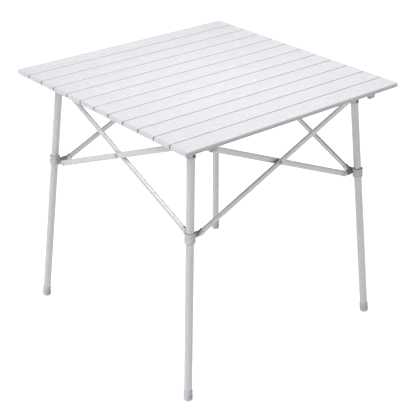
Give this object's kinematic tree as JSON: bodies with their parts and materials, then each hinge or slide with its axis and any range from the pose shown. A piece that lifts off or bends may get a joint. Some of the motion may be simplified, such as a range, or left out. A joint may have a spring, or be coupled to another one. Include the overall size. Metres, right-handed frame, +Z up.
{
  "type": "folding side table",
  "caption": "Square folding camp side table: a roll-up slatted aluminium top on splayed tube legs joined by folding X braces.",
  "frame": {"origin": "floor level under the centre of the square top", "axes": "+X along the slats, +Y across the slats, +Z up"},
  "size_m": [0.7, 0.699, 0.69],
  "materials": {
    "slat_aluminium": "satin clear-anodised, finely ribbed",
    "tube_aluminium": "satin anodised",
    "hub_plastic": "moulded, light warm grey",
    "foot_rubber": "moulded, bluish grey",
    "rivet_steel": "dull plated"
  },
  "bodies": {
    "hub_front": {"top_hub_front": "hub_plastic", "top_pin_inner_front_right": "rivet_steel", "top_pin_outer_left_front": "rivet_steel"},
    "hub_right": {"top_hub_right": "hub_plastic", "top_pin_inner_right_back": "rivet_steel", "top_pin_outer_front_right": "rivet_steel"},
    "hub_back": {"top_hub_back": "hub_plastic", "top_pin_inner_back_left": "rivet_steel", "top_pin_outer_right_back": "rivet_steel"},
    "hub_left": {"top_hub_left": "hub_plastic", "top_pin_inner_left_front": "rivet_steel", "top_pin_outer_back_left": "rivet_steel"},
    "leg_front": {"leg_front": "tube_aluminium", "foot_front": "foot_rubber"},
    "slide_front": {"slide_hub_front": "hub_plastic", "slide_pin_outer_front_right": "rivet_steel", "slide_pin_inner_left_front": "rivet_steel"},
    "leg_right": {"leg_right": "tube_aluminium", "foot_right": "foot_rubber"},
    "slide_right": {"slide_hub_right": "hub_plastic", "slide_pin_outer_right_back": "rivet_steel", "slide_pin_inner_front_right": "rivet_steel"},
    "leg_back": {"leg_back": "tube_aluminium", "foot_back": "foot_rubber"},
    "slide_back": {"slide_hub_back": "hub_plastic", "slide_pin_outer_back_left": "rivet_steel", "slide_pin_inner_right_back": "rivet_steel"},
    "leg_left": {"leg_left": "tube_aluminium", "foot_left": "foot_rubber"},
    "slide_left": {"slide_hub_left": "hub_plastic", "slide_pin_outer_left_front": "rivet_steel", "slide_pin_inner_back_left": "rivet_steel"},
    "brace_inner_front_right": {"brace_inner_front_right": "tube_aluminium", "brace_pivot_front_right": "rivet_steel"},
    "brace_outer_front_right": {"brace_outer_front_right": "tube_aluminium"},
    "brace_inner_right_back": {"brace_inner_right_back": "tube_aluminium", "brace_pivot_right_back": "rivet_steel"},
    "brace_outer_right_back": {"brace_outer_right_back": "tube_aluminium"},
    "brace_inner_back_left": {"brace_inner_back_left": "tube_aluminium", "brace_pivot_back_left": "rivet_steel"},
    "brace_outer_back_left": {"brace_outer_back_left": "tube_aluminium"},
    "brace_inner_left_front": {"brace_inner_left_front": "tube_aluminium", "brace_pivot_left_front": "rivet_steel"},
    "brace_outer_left_front": {"brace_outer_left_front": "tube_aluminium"},
    "slat_01": {"slat_01": "slat_aluminium", "corner_clip_back": "hub_plastic", "corner_clip_left": "hub_plastic"},
    "slat_02": {"slat_02": "slat_aluminium"},
    "slat_03": {"slat_03": "slat_aluminium"},
    "slat_04": {"slat_04": "slat_aluminium"},
    "slat_05": {"slat_05": "slat_aluminium"},
    "slat_06": {"slat_06": "slat_aluminium"},
    "slat_07": {"slat_07": "slat_aluminium"},
    "slat_08": {"slat_08": "slat_aluminium"},
    "slat_09": {"slat_09": "slat_aluminium"},
    "slat_10": {"slat_10": "slat_aluminium"},
    "slat_11": {"slat_11": "slat_aluminium"},
    "slat_12": {"slat_12": "slat_aluminium", "corner_clip_front": "hub_plastic", "corner_clip_right": "hub_plastic"}
  },
  "joints": [
    {"name": "frame_fold", "type": "hinge", "parent": "hub_front", "child": "brace_inner_front_right", "pos_m": [-0.254, -0.2758, 0.656], "axis": [0, 1, 0], "range_deg": [0, 56.5]},
    {"name": "cross_pivot_front_right", "type": "hinge", "parent": "brace_inner_front_right", "child": "brace_outer_front_right", "pos_m": [0, -0.2808, 0.546], "axis": [0, 1, 0], "range_deg": [-113, 0]},
    {"name": "outer_top_pin_front_right", "type": "hinge", "parent": "brace_outer_front_right", "child": "hub_right", "pos_m": [0.254, -0.2858, 0.656], "axis": [0, 1, 0], "range_deg": [0, 56.5]},
    {"name": "inner_top_pin_right_back", "type": "hinge", "parent": "hub_right", "child": "brace_inner_right_back", "pos_m": [0.2758, -0.254, 0.656], "axis": [-1, 0, 0], "range_deg": [0, 56.5]},
    {"name": "cross_pivot_right_back", "type": "hinge", "parent": "brace_inner_right_back", "child": "brace_outer_right_back", "pos_m": [0.2808, 0, 0.546], "axis": [-1, 0, 0], "range_deg": [-113, 0]},
    {"name": "outer_top_pin_right_back", "type": "hinge", "parent": "brace_outer_right_back", "child": "hub_back", "pos_m": [0.2858, 0.254, 0.656], "axis": [-1, 0, 0], "range_deg": [0, 56.5]},
    {"name": "inner_top_pin_back_left", "type": "hinge", "parent": "hub_back", "child": "brace_inner_back_left", "pos_m": [0.254, 0.2758, 0.656], "axis": [0, -1, 0], "range_deg": [0, 56.5]},
    {"name": "cross_pivot_back_left", "type": "hinge", "parent": "brace_inner_back_left", "child": "brace_outer_back_left", "pos_m": [0, 0.2808, 0.546], "axis": [0, -1, 0], "range_deg": [-113, 0]},
    {"name": "outer_top_pin_left_front", "type": "hinge", "parent": "hub_front", "child": "brace_outer_left_front", "pos_m": [-0.2858, -0.254, 0.656], "axis": [1, 0, 0], "range_deg": [-56.5, 0]},
    {"name": "cross_pivot_left_front", "type": "hinge", "parent": "brace_outer_left_front", "child": "brace_inner_left_front", "pos_m": [-0.2808, 0, 0.546], "axis": [1, 0, 0], "range_deg": [0, 113]},
    {"name": "inner_top_pin_left_front", "type": "hinge", "parent": "brace_inner_left_front", "child": "hub_left", "pos_m": [-0.2758, 0.254, 0.656], "axis": [1, 0, 0], "range_deg": [-56.5, 0]},
    {"name": "slide_pin_right", "type": "hinge", "parent": "brace_inner_front_right", "child": "slide_right", "pos_m": [0.254, -0.2758, 0.436], "axis": [0, 1, 0], "range_deg": [-56.5, 0]},
    {"name": "slide_pin_front", "type": "hinge", "parent": "brace_outer_front_right", "child": "slide_front", "pos_m": [-0.254, -0.2858, 0.436], "axis": [0, 1, 0], "range_deg": [0, 56.5]},
    {"name": "slide_pin_back", "type": "hinge", "parent": "brace_inner_right_back", "child": "slide_back", "pos_m": [0.2758, 0.254, 0.436], "axis": [-1, 0, 0], "range_deg": [-56.5, 0]},
    {"name": "slide_pin_left", "type": "hinge", "parent": "brace_outer_left_front", "child": "slide_left", "pos_m": [-0.2858, 0.254, 0.436], "axis": [1, 0, 0], "range_deg": [0, 56.5]},
    {"name": "leg_lean_front", "type": "hinge", "parent": "hub_front", "child": "leg_front", "pos_m": [-0.272, -0.272, 0.656], "axis": [0.7071, -0.7071, 0], "range_deg": [0, 3.84]},
    {"name": "leg_lean_right", "type": "hinge", "parent": "hub_right", "child": "leg_right", "pos_m": [0.272, -0.272, 0.656], "axis": [0.7071, 0.7071, 0], "range_deg": [0, 3.84]},
    {"name": "leg_lean_back", "type": "hinge", "parent": "hub_back", "child": "leg_back", "pos_m": [0.272, 0.272, 0.656], "axis": [-0.7071, 0.7071, 0], "range_deg": [0, 3.84]},
    {"name": "leg_lean_left", "type": "hinge", "parent": "hub_left", "child": "leg_left", "pos_m": [-0.272, 0.272, 0.656], "axis": [-0.7071, -0.7071, 0], "range_deg": [0, 3.84]},
    {"name": "tabletop_lift", "type": "slide", "parent": "hub_front", "child": "slat_06", "axis": [0, 0, 1], "range_m": [0, 0.15]},
    {"name": "tabletop_roll", "type": "hinge", "parent": "slat_06", "child": "slat_07", "pos_m": [0, 0, 0.69], "axis": [-1, 0, 0], "range_deg": [0, 29]},
    {"name": "roll_slat_08", "type": "hinge", "parent": "slat_07", "child": "slat_08", "pos_m": [0, -0.05833, 0.69], "axis": [-1, 0, 0], "range_deg": [0, 29]},
    {"name": "roll_slat_09", "type": "hinge", "parent": "slat_08", "child": "slat_09", "pos_m": [0, -0.11667, 0.69], "axis": [-1, 0, 0], "range_deg": [0, 29]},
    {"name": "roll_slat_10", "type": "hinge", "parent": "slat_09", "child": "slat_10", "pos_m": [0, -0.175, 0.69], "axis": [-1, 0, 0], "range_deg": [0, 29]},
    {"name": "roll_slat_11", "type": "hinge", "parent": "slat_10", "child": "slat_11", "pos_m": [0, -0.23333, 0.69], "axis": [-1, 0, 0], "range_deg": [0, 29]},
    {"name": "roll_slat_12", "type": "hinge", "parent": "slat_11", "child": "slat_12", "pos_m": [0, -0.29167, 0.69], "axis": [-1, 0, 0], "range_deg": [0, 29]},
    {"name": "roll_slat_05", "type": "hinge", "parent": "slat_06", "child": "slat_05", "pos_m": [0, 0.05833, 0.69], "axis": [1, 0, 0], "range_deg": [0, 29]},
    {"name": "roll_slat_04", "type": "hinge", "parent": "slat_05", "child": "slat_04", "pos_m": [0, 0.11667, 0.69], "axis": [1, 0, 0], "range_deg": [0, 29]},
    {"name": "roll_slat_03", "type": "hinge", "parent": "slat_04", "child": "slat_03", "pos_m": [0, 0.175, 0.69], "axis": [1, 0, 0], "range_deg": [0, 29]},
    {"name": "roll_slat_02", "type": "hinge", "parent": "slat_03", "child": "slat_02", "pos_m": [0, 0.23333, 0.69], "axis": [1, 0, 0], "range_deg": [0, 29]},
    {"name": "roll_slat_01", "type": "hinge", "parent": "slat_02", "child": "slat_01", "pos_m": [0, 0.29167, 0.69], "axis": [1, 0, 0], "range_deg": [0, 29]}
  ],
  "couplings": [
    {"joint": "cross_pivot_front_right", "follows": "frame_fold", "ratio": -2},
    {"joint": "outer_top_pin_front_right", "follows": "frame_fold", "ratio": 1},
    {"joint": "inner_top_pin_right_back", "follows": "frame_fold", "ratio": 1},
    {"joint": "cross_pivot_right_back", "follows": "frame_fold", "ratio": -2},
    {"joint": "outer_top_pin_right_back", "follows": "frame_fold", "ratio": 1},
    {"joint": "inner_top_pin_back_left", "follows": "frame_fold", "ratio": 1},
    {"joint": "cross_pivot_back_left", "follows": "frame_fold", "ratio": -2},
    {"joint": "outer_top_pin_left_front", "follows": "frame_fold", "ratio": -1},
    {"joint": "cross_pivot_left_front", "follows": "frame_fold", "ratio": 2},
    {"joint": "inner_top_pin_left_front", "follows": "frame_fold", "ratio": -1},
    {"joint": "slide_pin_right", "follows": "frame_fold", "ratio": -1},
    {"joint": "slide_pin_front", "follows": "frame_fold", "ratio": 1},
    {"joint": "slide_pin_back", "follows": "frame_fold", "ratio": -1},
    {"joint": "slide_pin_left", "follows": "frame_fold", "ratio": 1},
    {"joint": "leg_lean_front", "follows": "frame_fold", "ratio": 0.06797},
    {"joint": "leg_lean_right", "follows": "frame_fold", "ratio": 0.06797},
    {"joint": "leg_lean_back", "follows": "frame_fold", "ratio": 0.06797},
    {"joint": "leg_lean_left", "follows": "frame_fold", "ratio": 0.06797},
    {"joint": "roll_slat_08", "follows": "tabletop_roll", "ratio": 1},
    {"joint": "roll_slat_09", "follows": "tabletop_roll", "ratio": 1},
    {"joint": "roll_slat_10", "follows": "tabletop_roll", "ratio": 1},
    {"joint": "roll_slat_11", "follows": "tabletop_roll", "ratio": 1},
    {"joint": "roll_slat_12", "follows": "tabletop_roll", "ratio": 1},
    {"joint": "roll_slat_05", "follows": "tabletop_roll", "ratio": 1},
    {"joint": "roll_slat_04", "follows": "tabletop_roll", "ratio": 1},
    {"joint": "roll_slat_03", "follows": "tabletop_roll", "ratio": 1},
    {"joint": "roll_slat_02", "follows": "tabletop_roll", "ratio": 1},
    {"joint": "roll_slat_01", "follows": "tabletop_roll", "ratio": 1}
  ]
}
